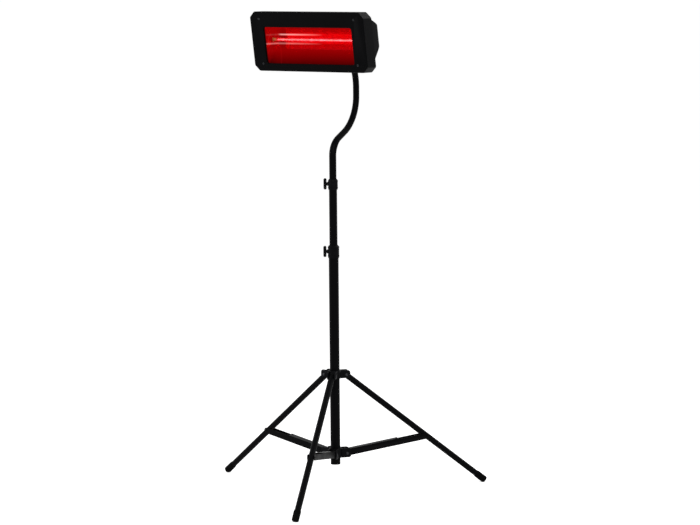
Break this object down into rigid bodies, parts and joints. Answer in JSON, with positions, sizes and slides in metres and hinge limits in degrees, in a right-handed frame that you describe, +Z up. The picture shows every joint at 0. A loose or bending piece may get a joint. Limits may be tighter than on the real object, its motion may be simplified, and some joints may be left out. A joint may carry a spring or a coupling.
{
  "type": "infrared patio heater",
  "caption": "Electric infrared patio heater: long ruby lamp in a black reflector head, on an offset gooseneck mast with a folding tripod.",
  "frame": {"origin": "on the floor, under the middle of the bounding box; the mast axis stands at x 0.104, y 0.041", "axes": "+Z up; the lamp head faces -Y; +X is the head's right end seen from the front by the camera side"},
  "size_m": [0.9285, 0.9873, 1.7215],
  "materials": {
    "black_enamel": "satin black enamel on steel",
    "black_plastic": "moulded black nylon",
    "foot_rubber": "moulded black rubber",
    "fastener_steel": "blackened steel",
    "zinc_bolt": "bright zinc plate",
    "reflector_sheet": "polished aluminium sheet",
    "ruby_quartz": "ruby quartz, lit",
    "hot_filament": "glowing tungsten",
    "ceramic": "unglazed steatite"
  },
  "bodies": {
    "stand_base": {"lower_tube": "black_enamel", "tube_plug": "black_plastic", "lower_collar": "black_plastic", "collar_rivet_1": "fastener_steel", "collar_rivet_2": "fastener_steel", "collar_rivet_3": "fastener_steel", "lower_clamp": "black_plastic"},
    "lower_wing_screw": {"lower_wing_screw": "black_plastic"},
    "hub": {"slider_hub": "black_plastic", "hub_rivet_1": "fastener_steel", "hub_rivet_2": "fastener_steel", "hub_rivet_3": "fastener_steel"},
    "hub_knob": {"hub_lock_knob": "black_plastic"},
    "leg_1": {"leg_1": "black_enamel", "foot_cap_1": "foot_rubber", "strut_rivet_1": "fastener_steel"},
    "leg_2": {"leg_2": "black_enamel", "foot_cap_2": "foot_rubber", "strut_rivet_2": "fastener_steel"},
    "leg_3": {"leg_3": "black_enamel", "foot_cap_3": "foot_rubber", "strut_rivet_3": "fastener_steel"},
    "strut_1": {"strut_1": "black_enamel"},
    "strut_2": {"strut_2": "black_enamel"},
    "strut_3": {"strut_3": "black_enamel"},
    "middle_guide": {"middle_bush": "black_plastic"},
    "middle_mast": {"middle_tube": "black_enamel", "upper_clamp": "black_plastic"},
    "upper_wing_screw": {"upper_wing_screw": "black_plastic"},
    "upper_guide": {"upper_bush": "black_plastic"},
    "neck": {"neck_tube": "black_enamel", "neck_knuckle": "black_enamel"},
    "head": {"front_bezel": "black_enamel", "bezel_screw_1": "fastener_steel", "bezel_screw_2": "fastener_steel", "bezel_screw_3": "fastener_steel", "bezel_screw_4": "fastener_steel", "housing_shell": "black_enamel", "end_cap_left": "black_plastic", "end_cap_right": "black_plastic", "reflector": "reflector_sheet", "end_reflector_left": "reflector_sheet", "end_reflector_right": "reflector_sheet", "lamp_tube": "ruby_quartz", "filament": "hot_filament", "lamp_end_left": "ceramic", "lamp_end_right": "ceramic", "lamp_holder_left": "ceramic", "lamp_holder_right": "ceramic", "terminal_block": "ceramic", "cable_gland": "black_plastic", "tilt_bracket": "black_enamel", "bracket_screw_1": "fastener_steel", "bracket_screw_2": "fastener_steel", "tilt_bolt": "zinc_bolt"},
    "tilt_knob": {"tilt_knob": "black_plastic"}
  },
  "joints": [
    {"name": "hub_slide", "type": "slide", "parent": "stand_base", "child": "hub", "axis": [0, 0, 1], "range_m": [0, 0.396]},
    {"name": "leg_1_hinge", "type": "hinge", "parent": "hub", "child": "leg_1", "pos_m": [0.11663, 0.00259, 0.42296], "axis": [0.9291, 0.3698, 0], "range_deg": [0, 43.57]},
    {"name": "leg_2_hinge", "type": "hinge", "parent": "hub", "child": "leg_2", "pos_m": [0.12663, 0.07115, 0.42296], "axis": [-0.7848, 0.6198, 0], "range_deg": [0, 43.57]},
    {"name": "leg_3_hinge", "type": "hinge", "parent": "hub", "child": "leg_3", "pos_m": [0.06226, 0.04553, 0.42296], "axis": [-0.1444, -0.9895, 0], "range_deg": [0, 43.57]},
    {"name": "strut_1_hinge", "type": "hinge", "parent": "stand_base", "child": "strut_1", "pos_m": [0.11663, 0.00259, 0.139], "axis": [-0.9291, -0.3698, 0], "range_deg": [0, 71.28]},
    {"name": "strut_2_hinge", "type": "hinge", "parent": "stand_base", "child": "strut_2", "pos_m": [0.12663, 0.07115, 0.139], "axis": [0.7848, -0.6198, 0], "range_deg": [0, 71.28]},
    {"name": "strut_3_hinge", "type": "hinge", "parent": "stand_base", "child": "strut_3", "pos_m": [0.06226, 0.04553, 0.139], "axis": [0.1444, 0.9895, 0], "range_deg": [0, 71.28]},
    {"name": "hub_knob_turn", "type": "hinge", "parent": "hub", "child": "hub_knob", "pos_m": [0.10184, 0.03976, 0.42546], "axis": [-0.3698, 0.9291, 0], "range_deg": [0, 540]},
    {"name": "lower_wing_turn", "type": "hinge", "parent": "stand_base", "child": "lower_wing_screw", "pos_m": [0.10184, 0.03976, 0.8675], "axis": [-0.809, -0.5878, 0], "range_deg": [0, 540]},
    {"name": "middle_slide", "type": "slide", "parent": "stand_base", "child": "middle_guide", "axis": [0, 0, 1], "range_m": [-0.196, 0.27]},
    {"name": "middle_swivel", "type": "hinge", "parent": "middle_guide", "child": "middle_mast", "pos_m": [0.10184, 0.03976, 0.862], "axis": [0, 0, 1], "range_deg": [-180, 180]},
    {"name": "upper_wing_turn", "type": "hinge", "parent": "middle_mast", "child": "upper_wing_screw", "pos_m": [0.10184, 0.03976, 1.109], "axis": [-0.809, -0.5878, 0], "range_deg": [0, 540]},
    {"name": "upper_slide", "type": "slide", "parent": "middle_mast", "child": "upper_guide", "axis": [0, 0, 1], "range_m": [-0.08, 0.3]},
    {"name": "neck_swivel", "type": "hinge", "parent": "upper_guide", "child": "neck", "pos_m": [0.10184, 0.03976, 1.102], "axis": [0, 0, 1], "range_deg": [-180, 180]},
    {"name": "head_tilt", "type": "hinge", "parent": "neck", "child": "head", "pos_m": [0.10184, 0.03232, 1.6437], "axis": [1, 0, 0], "range_deg": [-30, 45]},
    {"name": "tilt_knob_turn", "type": "hinge", "parent": "head", "child": "tilt_knob", "pos_m": [0.10184, 0.03232, 1.6437], "axis": [1, 0, 0], "range_deg": [0, 540]}
  ],
  "couplings": [
    {"joint": "leg_1_hinge", "follows": "hub_slide", "rad_per_m": 1.918},
    {"joint": "leg_2_hinge", "follows": "hub_slide", "rad_per_m": 1.918},
    {"joint": "leg_3_hinge", "follows": "hub_slide", "rad_per_m": 1.918},
    {"joint": "strut_1_hinge", "follows": "hub_slide", "rad_per_m": 3.1395},
    {"joint": "strut_2_hinge", "follows": "hub_slide", "rad_per_m": 3.1395},
    {"joint": "strut_3_hinge", "follows": "hub_slide", "rad_per_m": 3.1395}
  ]
}
